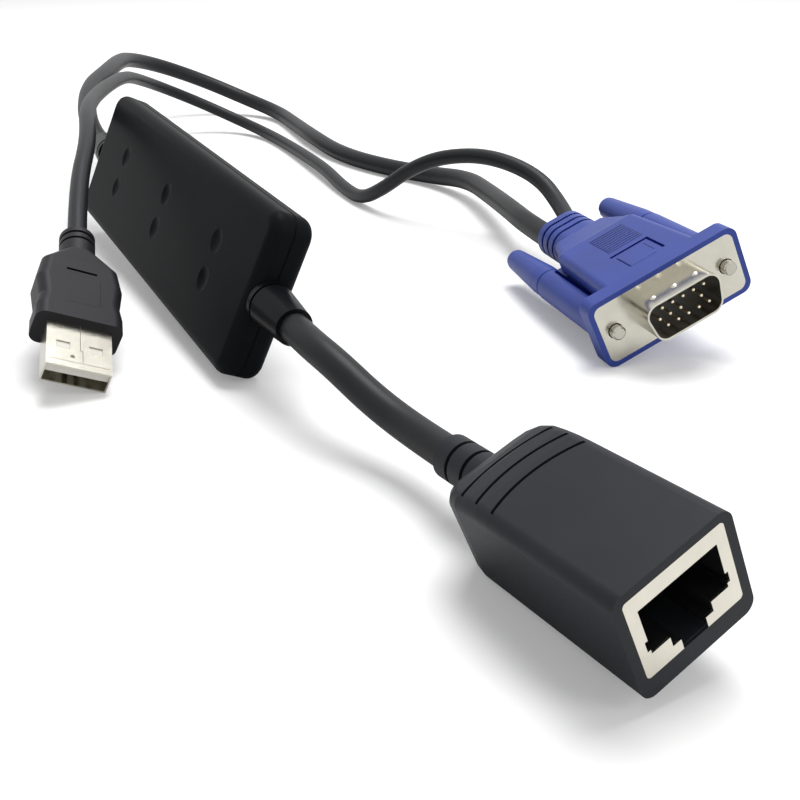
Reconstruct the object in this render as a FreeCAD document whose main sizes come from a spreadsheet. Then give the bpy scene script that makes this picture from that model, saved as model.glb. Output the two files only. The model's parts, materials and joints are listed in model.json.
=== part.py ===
"""A keyboard-video-mouse dongle: a flat two-shell box, a network socket on a short cord, and a
video plug whose two cords run to the box and to a USB plug. All sizes are in millimetres.

+Z is up from the surface that the dongle stands on, and +X runs along the box towards its network
end. The box leans back on its long edge, and each connector lies on the surface as its stiff cord
leaves it. A connector is drawn in a frame of its own: X points out of its mouth, Y to the right
of someone who looks into it, and Z up.
"""
import FreeCAD, Part

import math
import os

import Sketcher
from FreeCAD import Placement, Rotation, Vector

os.makedirs("parts", exist_ok=True)
doc = FreeCAD.newDocument("kvm_dongle")

# --- driving sizes ---------------------------------------------------------------------------

SIZES = {
    # box
    "box_length": 113.6, "box_width": 32.6, "box_thick": 8.8, "box_wall": 1.4,
    "box_corner": 4.0, "box_edge": 2.4, "parting_groove": 0.25,
    "grip_pitch_along": 34.2, "grip_pitch_across": 8.0, "grip_shift": 1.0,
    "grip_radius": 2.6, "grip_depth": 0.5,
    "board_length": 96.0, "board_width": 26.0, "board_thick": 1.0,
    "post_radius": 1.5, "post_inset": 4.0, "fit_gap": 0.2,
    "chip_side": 12.0, "chip_height": 1.4, "small_chip_side": 7.0, "small_chip_height": 1.0,
    "header_length": 5.0, "header_width": 12.0, "header_height": 2.2,
    "crystal_length": 8.0, "crystal_width": 3.4, "crystal_height": 2.2,
    "capacitor_radius": 2.0, "capacitor_height": 2.3, "capacitor_count": 4, "capacitor_pitch": 5.5,
    # moulded boots at the two ends of the box
    "boot_base_radius": 4.4, "boot_tip_radius": 3.5, "boot_length": 12.0, "boot_neck_radius": 2.8,
    "boot_ring": 1.3, "boot_gap": 0.7, "boot_flange": 1.2, "boot_flange_width": 9.0,
    # cords
    "network_cord": 5.5, "video_cord": 5.5, "usb_cord": 4.0,
    # network socket
    "socket_width": 18.0, "socket_height": 16.2, "socket_length": 36.0, "socket_edge": 1.8,
    "socket_taper": 4.4, "socket_dome_start": 22.5, "socket_dome_radius": 36.0,
    "socket_corner": 6.0, "collar_radius": 3.5, "collar_length": 10.4, "collar_slot": 0.7,
    "groove_radius": 20.0, "groove_pitch": 3.4, "groove_width": 0.5, "groove_first": 24.2,
    "shield_width": 15.2, "shield_height": 12.1, "shield_length": 18.0, "shield_sheet": 0.3,
    "shield_up": 0.8, "jack_width": 12.0, "jack_height": 6.8, "jack_up": 0.4, "jack_depth": 13.5,
    "latch_wide": 6.4, "latch_wide_drop": 1.5, "latch_narrow": 3.9, "latch_narrow_drop": 1.6,
    "notch_wide": 0.45, "notch_high": 1.5, "notch_up": 0.6,
    "contact_pitch": 1.02, "contact_width": 0.4, "contact_sheet": 0.3, "contact_start": 4.8,
    "contact_run": 6.5, "contact_drop": 2.2,
    # video plug
    "frame_width": 33.0, "frame_height": 14.6, "frame_deep": 4.0, "frame_corner": 2.2,
    "flange_width": 30.8, "flange_height": 12.5, "flange_sheet": 0.5, "flange_corner": 1.6,
    "dshell_width": 16.92, "dshell_height": 8.36, "dshell_reach": 5.9, "dshell_slant": 10.0,
    "dshell_corner": 2.6, "dshell_sheet": 0.45, "pin_block_deep": 9.0, "pin_block_face": 0.6,
    "pin_radius": 0.38, "pin_reach": 4.8, "pin_pitch": 2.29, "pin_row": 1.98, "pin_tail": 3.0,
    "hood_front_width": 21.4, "hood_rear_width": 19.6, "hood_back_width": 13.4,
    "hood_front_high": 14.0, "hood_rear_high": 13.0, "hood_back_high": 9.6, "hood_length": 37.0,
    "hood_shoulder": 9.5, "hood_edge": 1.6, "knob_clear": 0.4,
    "neck_width": 12.6, "neck_height": 8.8, "neck_length": 13.0, "neck_slot": 0.9,
    "cord_spread": 2.75,
    "barrel_radius": 3.5, "barrel_end": 29.5, "screw_spacing": 24.99,
    "knob_front_radius": 3.4, "knob_back_radius": 2.5, "knob_length": 21.0, "knob_gap": 0.6,
    "knob_end_radius": 1.8, "knob_slot": 1.2, "knob_slot_deep": 1.8,
    "screw_tip_radius": 1.42, "screw_shank_radius": 1.15, "screw_reach": 1.8, "screw_clear": 0.3,
    "screw_embed": 10.0, "screw_thread": 1.8,
    # USB plug
    "usb_shell_width": 12.0, "usb_shell_height": 4.5, "usb_shell_out": 12.0, "usb_shell_in": 7.0,
    "usb_sheet": 0.3, "usb_hole_along": 2.0, "usb_hole_across": 2.5, "usb_hole_from_tip": 5.7,
    "usb_hole_spacing": 6.0, "usb_tongue": 1.95, "usb_tongue_back": 0.5,
    "usb_contact_width": 1.0, "usb_contact_pitch": 2.2, "usb_contact_length": 7.4,
    "usb_contact_sheet": 0.2, "usb_body_width": 16.4, "usb_body_height": 8.0,
    "usb_body_length": 17.5, "usb_shoulder": 5.0, "usb_neck_radius": 3.6, "usb_neck_length": 7.5,
    "usb_waist": 0.5, "usb_ring_slot": 0.7,
    # how the pieces lie, in degrees, and where their faces are
    "box_lean": 24.5, "box_pitch": 2.3,
    "socket_x": 157.86, "socket_y": 9.33, "socket_yaw": 3.03, "socket_pitch": -4.31,
    "socket_roll": 22.03,
    "video_x": 83.37, "video_y": 71.92, "video_yaw": -11.39, "video_pitch": -1.82, "video_roll": 25.3,
    "usb_x": 47.25, "usb_y": -34.23, "usb_yaw": -14.8, "usb_pitch": 19.0, "usb_roll": -24.0,
}

sheet = doc.addObject("Spreadsheet::Sheet", "sizes")
for row, (alias, size) in enumerate(SIZES.items(), start=1):
    sheet.set(f"A{row}", alias)
    sheet.set(f"B{row}", str(size))
    sheet.setAlias(f"B{row}", alias)
doc.recompute()


def size(name):
    """The value of one cell of the sheet."""
    return float(sheet.get(name))


# --- helpers ---------------------------------------------------------------------------------

ALONG_X = Rotation(Vector(0, 1, 0), 90)
nodes = {}


def keep(obj, label):
    """Make an object one of the dongle's nodes."""
    obj.Label = label
    nodes[label] = obj
    return obj


def bind(obj, rules):
    """Tie properties to the sheet: every word of a rule that is a size's name is looked up."""
    for prop, rule in rules.items():
        obj.setExpression(prop, sheet_rule(rule))


def sheet_rule(rule):
    """Write a rule such as 'box_length / 2' with the sheet's name before each alias."""
    words = rule.replace("(", " ( ").replace(")", " ) ").split()
    return " ".join("sizes." + word if word in SIZES else word for word in words)


def block(name, start, length, width, height, across="0", up="0"):
    """A box that runs from start along X and is centred on across and up."""
    box = doc.addObject("Part::Box", name)
    bind(box, {
        "Length": length, "Width": width, "Height": height, "Placement.Base.x": start,
        "Placement.Base.y": f"( {across} ) - ( {width} ) / 2",
        "Placement.Base.z": f"( {up} ) - ( {height} ) / 2",
    })
    return box


def rod(name, start, length, radius, across="0", up="0"):
    """A cylinder along X from start."""
    bar = doc.addObject("Part::Cylinder", name)
    bind(bar, {
        "Height": length, "Radius": radius, "Placement.Base.x": start,
        "Placement.Base.y": across, "Placement.Base.z": up,
    })
    bar.Placement.Rotation = ALONG_X
    return bar


def fuse(name, pieces):
    joined = doc.addObject("Part::MultiFuse", name)
    joined.Shapes = pieces
    joined.Refine = True
    return joined


def cut(name, base, tools):
    """Take tools away from base."""
    tool = tools[0] if len(tools) == 1 else fuse(name + "_tools", tools)
    result = doc.addObject("Part::Cut", name)
    result.Base = base
    result.Tool = tool
    return result


def group(name, pieces):
    """Several separate solids in one object."""
    gathered = doc.addObject("Part::Compound", name)
    gathered.Links = pieces
    return gathered


def shaped(name, shape):
    """A feature whose shape is made with Part's own functions."""
    obj = doc.addObject("Part::Feature", name)
    obj.Shape = shape
    return obj


def body(label):
    return keep(doc.addObject("PartDesign::Body", label), label)


def origin_plane(owner, role):
    return next(item for item in owner.Origin.OriginFeatures if item.Role == role)


def rounded_sketch(owner, role, name, wide, high, corner, out="0", across="0", up="0"):
    """A rectangle with round corners on one of a body's own planes, centred on across and up."""
    sketch = owner.newObject("Sketcher::SketchObject", name)
    sketch.AttachmentSupport = [(origin_plane(owner, role), "")]
    sketch.MapMode = "FlatFace"
    x, y, r = 10.0, 5.0, 1.0
    turn = math.pi / 2
    normal = Vector(0, 0, 1)
    for index, (cx, cy) in enumerate([(x - r, r - y), (x - r, y - r), (r - x, y - r), (r - x, r - y)]):
        begin = (index - 1) * turn
        circle = Part.Circle(Vector(cx, cy, 0), normal, r)
        sketch.addGeometry(Part.ArcOfCircle(circle, begin, begin + turn), False)
    sides = [((r - x, -y), (x - r, -y)), ((x, r - y), (x, y - r)),
             ((x - r, y), (r - x, y)), ((-x, y - r), (-x, r - y))]
    for (ax, ay), (bx, by) in sides:
        sketch.addGeometry(Part.LineSegment(Vector(ax, ay, 0), Vector(bx, by, 0)), False)
    for index in range(4):
        arc, before, after = index, 4 + index, 4 + (index + 1) % 4
        sketch.addConstraint(Sketcher.Constraint("Tangent", before, 2, arc, 1))
        sketch.addConstraint(Sketcher.Constraint("Tangent", arc, 2, after, 1))
    for line in (4, 6):
        sketch.addConstraint(Sketcher.Constraint("Horizontal", line))
    for line in (5, 7):
        sketch.addConstraint(Sketcher.Constraint("Vertical", line))
    for arc in (1, 2, 3):
        sketch.addConstraint(Sketcher.Constraint("Equal", 0, arc))
    sketch.addConstraint(Sketcher.Constraint("Symmetric", 1, 3, 3, 3, -1, 1))
    for kind, first, second, drawn, label, rule in (("DistanceX", 7, 5, 2 * x, "wide", wide),
                                                    ("DistanceY", 4, 6, 2 * y, "high", high)):
        made = sketch.addConstraint(Sketcher.Constraint(kind, first, 1, second, 1, drawn))
        sketch.renameConstraint(made, label)
        sketch.setExpression(f"Constraints.{label}", sheet_rule(rule))
    made = sketch.addConstraint(Sketcher.Constraint("Radius", 0, r))
    sketch.renameConstraint(made, "corner")
    sketch.setExpression("Constraints.corner", sheet_rule(corner))
    bind(sketch, {"AttachmentOffset.Base.x": across, "AttachmentOffset.Base.y": up,
                  "AttachmentOffset.Base.z": out})
    return sketch


def pad(owner, sketch, name, length, reverse=False):
    feature = owner.newObject("PartDesign::Pad", name)
    feature.Profile = sketch
    feature.Reversed = reverse
    bind(feature, {"Length": length})
    return feature


def pocket(owner, sketch, name, depth, reverse=False):
    feature = owner.newObject("PartDesign::Pocket", name)
    feature.Profile = sketch
    feature.Reversed = reverse
    bind(feature, {"Length": depth})
    return feature


def round_edges(owner, base, name, radius, chosen):
    """Fillet the edges of a feature for which chosen(edge) holds."""
    doc.recompute()
    picked = [f"Edge{number}" for number, edge in enumerate(base.Shape.Edges, start=1) if chosen(edge)]
    feature = owner.newObject("PartDesign::Fillet", name)
    feature.Base = (base, picked)
    bind(feature, {"Radius": radius})
    return feature


def turned(profile):
    """Turn a closed outline of (x, radius) points about the X axis."""
    points = [Vector(x, 0, radius) for x, radius in profile]
    face = Part.Face(Part.makePolygon(points + points[:1]))
    return face.revolve(Vector(0, 0, 0), Vector(1, 0, 0), 360)


def moved(shape, place):
    """A copy of a shape whose geometry itself is moved, so that a node's Placement stays free."""
    return shape.transformed(place.toMatrix(), copy=True)


def rounded_wire(x, wide, high, corner, across=0.0, up=0.0):
    """A rectangle with round corners in the plane at x."""
    half_wide, half_high = wide / 2, high / 2
    edges = []
    diagonal = corner * (1 - math.sqrt(0.5))
    corners = [(1, -1), (1, 1), (-1, 1), (-1, -1)]
    previous = None
    first = None
    for side_y, side_z in corners:
        if side_y == side_z:
            start = (side_y * half_wide, side_z * (half_high - corner))
            end = (side_y * (half_wide - corner), side_z * half_high)
        else:
            start = (side_y * (half_wide - corner), side_z * half_high)
            end = (side_y * half_wide, side_z * (half_high - corner))
        middle = (side_y * (half_wide - diagonal), side_z * (half_high - diagonal))
        start, middle, end = (Vector(x, across + p[0], up + p[1]) for p in (start, middle, end))
        if previous is not None:
            edges.append(Part.LineSegment(previous, start).toShape())
        else:
            first = start
        edges.append(Part.Arc(start, middle, end).toShape())
        previous = end
    edges.append(Part.LineSegment(previous, first).toShape())
    return Part.Wire(edges)


def rounded_prism(start, length, wide, high, corner, across=0.0, up=0.0):
    face = Part.Face(rounded_wire(start, wide, high, corner, across, up))
    return face.extrude(Vector(length, 0, 0))


def d_wire(x, inset=0.0):
    """The D outline of the video plug's shell: its long side is up and its ends slant inwards."""
    half_wide = size("dshell_width") / 2 - inset
    half_high = size("dshell_height") / 2 - inset
    lean = math.tan(math.radians(size("dshell_slant"))) * half_high
    radius = size("dshell_corner") - inset
    corners = [Vector(x, half_wide, half_high), Vector(x, -half_wide, half_high),
               Vector(x, -half_wide + 2 * lean, -half_high), Vector(x, half_wide - 2 * lean, -half_high)]
    return round_corners(corners, radius)


def round_corners(corners, radius):
    """A closed outline through corners, each turned by an arc of radius."""
    count = len(corners)
    arcs = []
    for index, corner in enumerate(corners):
        back = (corners[index - 1] - corner).normalize()
        ahead = (corners[(index + 1) % count] - corner).normalize()
        half = back.getAngle(ahead) / 2
        reach = radius / math.tan(half)
        centre = corner + (back + ahead).normalize() * (radius / math.sin(half))
        middle = centre + (corner - centre).normalize() * radius
        arcs.append((corner + back * reach, middle, corner + ahead * reach))
    edges = []
    for index, (start, middle, end) in enumerate(arcs):
        edges.append(Part.Arc(start, middle, end).toShape())
        edges.append(Part.LineSegment(end, arcs[(index + 1) % count][0]).toShape())
    return Part.Wire(edges)


def d_prism(start, end, inset=0.0):
    return Part.Face(d_wire(start, inset)).extrude(Vector(end - start, 0, 0))


def cylinder(start, end, radius, across=0.0, up=0.0):
    return Part.makeCylinder(radius, end - start, Vector(start, across, up), Vector(1, 0, 0))


# --- box: two shells that meet at the middle of its thickness ---------------------------------

def shell_half(name, side):
    """One half of the case. side is -1 for the front shell and 1 for the rear one."""
    backwards = side > 0
    half = doc.addObject("PartDesign::Body", name + "_body")
    outline = rounded_sketch(half, "XZ_Plane", name + "_outline", "box_length", "box_width", "box_corner")
    wall = pad(half, outline, name + "_pad", "box_thick / 2", backwards)
    doc.recompute()
    face_at = side * size("box_thick") / 2

    def on_face(edge):
        return all(abs(point.Point.y - face_at) < 1e-6 for point in edge.Vertexes)

    def on_parting(edge):
        return all(abs(point.Point.y) < 1e-6 for point in edge.Vertexes)

    rounded = round_edges(half, wall, name + "_rounding", "box_edge", on_face)
    doc.recompute()
    parting = [f"Edge{number}" for number, edge in enumerate(rounded.Shape.Edges, start=1)
               if on_parting(edge)]
    groove = half.newObject("PartDesign::Chamfer", name + "_parting_groove")
    groove.Base = (rounded, parting)
    bind(groove, {"Size": "parting_groove"})
    inside = rounded_sketch(half, "XZ_Plane", name + "_inside", "box_length - 2 * box_wall",
                            "box_width - 2 * box_wall", "box_corner - box_wall")
    pocket(half, inside, name + "_cavity", "box_thick / 2 - box_wall", side < 0)
    return half


def post(name, side, along, up):
    """A round post from a shell's inner face to the board."""
    pin = doc.addObject("Part::Cylinder", name)
    pin.Placement.Rotation = Rotation(Vector(1, 0, 0), 90 if side < 0 else -90)
    bind(pin, {
        "Radius": "post_radius", "Height": "box_thick / 2 - box_wall - board_thick / 2",
        "Placement.Base.x": along, "Placement.Base.y": f"{side} * board_thick / 2",
        "Placement.Base.z": up,
    })
    return pin


def boot_holes(name):
    hole = "boot_neck_radius + fit_gap / 2"
    near = rod(name + "_near_hole", "box_length / 2 - 2 * box_wall", "4 * box_wall", hole)
    far = rod(name + "_far_hole", "0 - box_length / 2 - 2 * box_wall", "4 * box_wall", hole)
    return [near, far]


def make_shell(label, side):
    posts = []
    for column in (-1, 1):
        for line in (-1, 1):
            posts.append(post(f"{label}_post_{column + 1}{line + 1}", side,
                              f"{column} * ( board_length / 2 - post_inset )",
                              f"{line} * ( board_width / 2 - post_inset )"))
    filled = fuse(label + "_with_posts", [shell_half(label, side)] + posts)
    tools = boot_holes(label)
    if side < 0:
        for column in (-1, 0, 1):
            for line in (-1, 1):
                grip = doc.addObject("Part::Sphere", f"grip_dimple_{column + 1}{line + 1}")
                curve = "( grip_radius * grip_radius + grip_depth * grip_depth ) / ( 2 * grip_depth )"
                bind(grip, {
                    "Radius": curve, "Placement.Base.x": f"{column} * grip_pitch_along + grip_shift",
                    "Placement.Base.y": f"0 - box_thick / 2 + grip_depth - {curve}",
                    "Placement.Base.z": f"{line} * grip_pitch_across / 2",
                })
                tools.append(grip)
    return keep(cut(label + "_cut", filled, tools), label)


make_shell("front_shell", -1)
make_shell("rear_shell", 1)

# --- circuit board and what is soldered to it --------------------------------------------------

board = body("circuit_board")
board_outline = rounded_sketch(board, "XZ_Plane", "board_outline", "board_length", "board_width",
                               "board_thick", out="0 - board_thick / 2")
pad(board, board_outline, "board_pad", "board_thick")



def on_board(label, start, length, height, width):
    """A block that is soldered to the rear face of the board."""
    chip = block(label + "_block", start, length, height, width, f"board_thick / 2 + {height} / 2")
    return keep(group(label + "_part", [chip]), label)


on_board("main_chip", "0 - chip_side / 2", "chip_side", "chip_height", "chip_side")
on_board("interface_chip", "chip_side * 1.5", "small_chip_side", "small_chip_height",
         "small_chip_side")
on_board("crystal", "0 - chip_side * 1.5 - crystal_length / 2", "crystal_length", "crystal_height",
         "crystal_width")
on_board("network_header", "board_length / 2 - header_length - 2 * post_inset", "header_length",
         "header_height", "header_width")
on_board("video_header", "2 * post_inset - board_length / 2", "header_length", "header_height",
         "header_width")

cans = []
for number in range(int(size("capacitor_count"))):
    can = doc.addObject("Part::Cylinder", f"capacitor_{number + 1}")
    can.Placement.Rotation = Rotation(Vector(1, 0, 0), 90)
    bind(can, {
        "Radius": "capacitor_radius", "Height": "capacitor_height",
        "Placement.Base.x": f"( {number} - ( capacitor_count - 1 ) / 2 ) * capacitor_pitch",
        "Placement.Base.y": "0 - board_thick / 2",
    })
    cans.append(can)
keep(group("capacitor_row", cans), "capacitors")

# --- moulded boots -----------------------------------------------------------------------------


def make_boot(label, end):
    """A boot on one end wall. end is 1 for the network end and -1 for the video end."""
    wall_face = size("box_length") / 2
    base, tip = size("boot_base_radius"), size("boot_tip_radius")
    neck = size("boot_neck_radius")
    gap_start = wall_face + size("boot_ring")
    cone_start = gap_start + size("boot_gap")
    tip_at = wall_face + size("boot_length")
    inner = wall_face - size("box_wall") - size("boot_flange")
    outline = [(inner, 0), (inner, neck), (wall_face, neck), (wall_face, base), (gap_start, base),
               (gap_start, neck + size("boot_gap")), (cone_start, neck + size("boot_gap")),
               (cone_start, base), (tip_at, tip), (tip_at, 0)]
    deep = size("box_thick") - 2 * size("box_wall") - 2 * size("fit_gap")
    flange = Part.makeBox(size("boot_flange") - size("fit_gap"), deep, size("boot_flange_width"),
                          Vector(inner, -deep / 2, -size("boot_flange_width") / 2))
    shape = turned(outline).fuse(flange).removeSplitter()
    if end < 0:
        shape = moved(shape, Placement(Vector(), Rotation(180, 0, 0)))
    return keep(shaped(label + "_shape", shape), label)


make_boot("near_boot", 1)
make_boot("far_boot", -1)

# --- network socket ----------------------------------------------------------------------------

shield_tube_wide = size("shield_width") - 1.0
shield_tube_high = size("shield_height") - 0.6


def jack_opening(name, start, length):
    """The jack's mouth with its two latch steps and its side notches, as cutting tools."""
    floor = "shield_up + jack_up - jack_height / 2"
    return [
        block(name + "_mouth", start, length, "jack_width", "jack_height", up="shield_up + jack_up"),
        block(name + "_step", start, length, "latch_wide", "latch_wide_drop + 1",
              up=f"{floor} - latch_wide_drop / 2 + 0.5"),
        block(name + "_latch", start, length, "latch_narrow", "latch_narrow_drop + latch_wide_drop",
              up=f"{floor} - ( latch_narrow_drop + latch_wide_drop ) / 2"),
        block(name + "_notches", start, length, "jack_width + 2 * notch_wide", "notch_high",
              up=f"{floor} + notch_up + notch_high / 2"),
    ]


def dome_drop(x):
    """How far the housing's top has fallen at x, on its way to the cord."""
    past = max(0.0, -x - size("socket_dome_start"))
    return past ** 2 / (2 * size("socket_dome_radius"))


def socket_section(x):
    """The housing's outline at x: its rear corners are round and its top is domed."""
    corner, wide, high = size("socket_corner"), size("socket_width"), size("socket_height")
    past = min(max(0.0, -x - size("socket_length") + corner), CORNER_SHARE * corner)
    inset = corner - math.sqrt(corner ** 2 - past ** 2)
    top = high / 2 - dome_drop(x) - TOP_SHARE * inset
    bottom = BOTTOM_SHARE * inset - high / 2
    return rounded_wire(x, wide - 2 * inset, top - bottom, size("socket_edge"), up=(top + bottom) / 2)


CORNER_SHARE, TOP_SHARE, BOTTOM_SHARE = 0.98, 0.35, 0.7
SECTIONS = 8


def make_socket_housing():
    """The black moulding: a square body that rounds off to a slotted collar round the cord."""
    wide, high = size("socket_width"), size("socket_height")
    length, taper = size("socket_length"), size("socket_taper")
    collar, slot = size("collar_radius"), size("collar_slot")
    collar_end = -length - size("collar_length")
    dome = size("socket_dome_start")
    square = rounded_prism(-dome, dome, wide, high, size("socket_edge"))
    stations = [-dome - (length - dome) * math.sin(math.pi / 2 * step / SECTIONS)
                for step in range(SECTIONS + 1)]
    nose = Part.makeLoft([socket_section(x) for x in stations], True, True)
    shape = square.fuse([nose, cylinder(collar_end, -length, collar)])
    ring = (size("collar_length") - 2 * slot) / 3
    for index in range(2):
        start = collar_end + ring + index * (ring + slot)
        groove = cylinder(start, start + slot, collar + 1).cut(cylinder(start, start + slot, collar - slot))
        shape = shape.cut(groove)
    for index in range(3):
        middle = size("groove_first") + index * size("groove_pitch")
        floor = high / 2 - dome_drop(-middle) - size("groove_width")
        centre = Vector(size("groove_radius") - middle, 0, floor)
        outer = Part.makeCylinder(size("groove_radius"), 2, centre)
        inner = Part.makeCylinder(size("groove_radius") - size("groove_width"), 2, centre)
        strip = Part.makeBox(length, wide * 0.86, 2, Vector(centre.x - length - 8, -wide * 0.43, centre.z))
        shape = shape.cut(outer.cut(inner).common(strip))
    up = size("shield_up")
    recess = rounded_prism(-size("shield_sheet"), size("shield_sheet"), size("shield_width"),
                           size("shield_height"), 0.6, up=up)
    tube = rounded_prism(-size("shield_length"), size("shield_length"), shield_tube_wide,
                         shield_tube_high, 0.3, up=up)
    core = rounded_prism(-length + taper, length - taper, shield_tube_wide - 1, shield_tube_high - 1,
                         1.0, up=up)
    return shape.cut(recess.fuse([tube, core]))


keep(shaped("socket_moulding", make_socket_housing()), "socket_housing")

shield_plate = shaped("shield_plate", rounded_prism(
    -size("shield_sheet"), size("shield_sheet"), size("shield_width"), size("shield_height"), 0.6,
    up=size("shield_up")))
shield_tube = shaped("shield_tube", rounded_prism(
    -size("shield_length"), size("shield_length"), shield_tube_wide, shield_tube_high, 0.3,
    up=size("shield_up")))
shield_hollow = block("shield_hollow", "0 - shield_length", "shield_length - shield_sheet",
                      "shield_width - 1 - 2 * shield_sheet", "shield_height - 0.6 - 2 * shield_sheet",
                      up="shield_up")
keep(cut("shield_cut", fuse("shield_solid", [shield_plate, shield_tube]),
         [shield_hollow] + jack_opening("shield", "0 - jack_depth", "jack_depth + 1")), "jack_shield")

insert_block = block("insert_block", "0 - shield_length", "shield_length - shield_sheet",
                     "shield_width - 1 - 2 * shield_sheet", "shield_height - 0.6 - 2 * shield_sheet",
                     up="shield_up")
keep(cut("insert_cut", insert_block, jack_opening("insert", "0 - jack_depth", "jack_depth")),
     "jack_insert")

springs = []
slope = math.degrees(math.atan2(size("contact_drop"), size("contact_run")))
for number in range(8):
    spring = doc.addObject("Part::Box", f"jack_contact_{number + 1}")
    spring.Length = math.hypot(size("contact_run"), size("contact_drop"))
    bind(spring, {"Width": "contact_width", "Height": "contact_sheet"})
    across = (number - 3.5) * size("contact_pitch") - size("contact_width") / 2
    ceiling = size("shield_up") + size("jack_up") + size("jack_height") / 2
    hinge_at = Vector(-size("contact_start"), across, ceiling)
    turn = Rotation(Vector(0, 1, 0), -slope)
    spring.Placement = Placement(hinge_at, turn).multiply(
        Placement(Vector(-spring.Length.Value, 0, -size("contact_sheet")), Rotation()))
    springs.append(spring)
keep(group("jack_contact_row", springs), "jack_contacts")

keep(shaped("socket_fill", rounded_prism(
    -size("socket_length") + size("socket_taper"),
    size("socket_length") - size("socket_taper") - size("shield_length"), shield_tube_wide - 1,
    shield_tube_high - 1, 1.0, up=size("shield_up"))), "socket_inner_mould")

# --- video plug ----------------------------------------------------------------------------------

pins = []
for line, shift in ((1, 0), (0, -1), (-1, 0)):
    for column in range(5):
        if line == 0 and column == 3:
            continue
        middle = (column - 2) * size("pin_pitch") + (0.57 if shift == 0 else 0.57 - size("pin_pitch") / 2)
        pins.append(cylinder(-size("pin_block_deep") - size("pin_tail"), size("pin_reach"),
                             size("pin_radius"), middle, line * size("pin_row")))
pin_set = Part.makeCompound(pins)
keep(shaped("pin_set", pin_set), "video_pins")

sheet_thick = size("flange_sheet")
block_face = size("pin_block_face")
block_back = -size("pin_block_deep")
wall = size("dshell_sheet")
screw_side = size("screw_spacing") / 2
screw_hole = size("screw_tip_radius") + size("screw_clear") / 2


def both_sides(start, end, radius):
    return [cylinder(start, end, radius, side * screw_side) for side in (-1, 1)]


def make_flange_shell():
    plate = rounded_prism(-sheet_thick, sheet_thick, size("flange_width"), size("flange_height"),
                          size("flange_corner"))
    shape = plate.fuse(d_prism(-sheet_thick, size("dshell_reach")))
    top = size("dshell_height") / 2
    for across in (-4.6, 0, 4.6):
        shape = shape.fuse(Part.makeSphere(0.9, Vector(size("dshell_reach") * 0.55, across, top - 0.55)))
    shape = shape.cut(d_prism(-sheet_thick, size("dshell_reach"), wall))
    return shape.cut(Part.makeCompound(both_sides(-sheet_thick, 1, screw_hole)))


def make_rear_flange():
    plate = rounded_prism(-2 * sheet_thick, sheet_thick, size("flange_width"), size("flange_height"),
                          size("flange_corner"))
    shape = plate.fuse(d_prism(block_back + 2, -2 * sheet_thick))
    shape = shape.cut(d_prism(block_back + 2, -sheet_thick, wall))
    return shape.cut(Part.makeCompound(both_sides(-2 * sheet_thick, 1, screw_hole)))


keep(shaped("front_stamping", make_flange_shell()), "flange_shell")
keep(shaped("rear_stamping", make_rear_flange()), "rear_flange")
keep(shaped("pin_carrier", d_prism(block_back, block_face, wall).cut(pin_set)), "pin_block")

core_start = block_back - size("pin_tail") - 6
core = rounded_prism(core_start, block_back - core_start, size("dshell_width") - 2,
                     size("dshell_height") - 0.6, 1.0)
keep(shaped("video_fill", core.cut(pin_set)), "video_inner_mould")


def make_hood():
    """The blue moulding: a frame round the flange, a tapering body, two barrels and a neck."""
    deep, length = size("frame_deep"), size("hood_length")
    neck_end = -length - size("neck_length")
    shape = rounded_prism(-deep, deep, size("frame_width"), size("frame_height"), size("frame_corner"))
    between_knobs = 2 * (screw_side - size("knob_front_radius") - size("knob_clear"))
    rear_step_high = size("hood_rear_high") - size("hood_edge") / 2
    body_solid = Part.makeLoft([
        rounded_wire(-deep, size("hood_front_width"), size("hood_front_high"), size("hood_edge")),
        rounded_wire(-length + size("hood_shoulder"), size("hood_rear_width"), size("hood_rear_high"),
                     size("hood_edge")),
        rounded_wire(-size("barrel_end"), between_knobs, rear_step_high, size("hood_edge")),
        rounded_wire(-length, size("hood_back_width"), size("hood_back_high"), size("hood_edge"))],
        True, True)
    neck = rounded_prism(neck_end, size("neck_length"), size("neck_width"), size("neck_height"),
                         size("neck_height") / 2 - 0.2)
    pieces = [body_solid, neck] + both_sides(-size("barrel_end"), -deep, size("barrel_radius"))
    bridge = 5.0
    pieces.append(rounded_prism(-size("barrel_end"), bridge, size("screw_spacing"),
                                2 * size("barrel_radius") - 1.5, 0.8))
    shape = shape.fuse(pieces)
    slot = size("neck_slot")
    for index in range(3):
        start = neck_end + 2.2 + index * (slot + 2.0)
        ring = rounded_prism(start, slot, size("neck_width") + 2, size("neck_height") + 2, 2.0)
        inner = rounded_prism(start, slot, size("neck_width") - 2 * slot, size("neck_height") - 2 * slot,
                              size("neck_height") / 2 - 0.2 - slot)
        shape = shape.cut(ring.cut(inner))
    recess = rounded_prism(-2 * sheet_thick, 2 * sheet_thick, size("flange_width"),
                           size("flange_height"), size("flange_corner"))
    back_room = d_prism(block_back + 2, 0).fuse([d_prism(block_back, 0, wall), core])
    bores = both_sides(-size("barrel_end") - 1, 0, size("screw_tip_radius") + size("screw_clear"))
    return shape.cut(Part.makeCompound([recess])).cut(back_room).cut(Part.makeCompound(bores))


keep(shaped("hood_moulding", make_hood()), "video_hood")


ROUND_STEPS = 5


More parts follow.
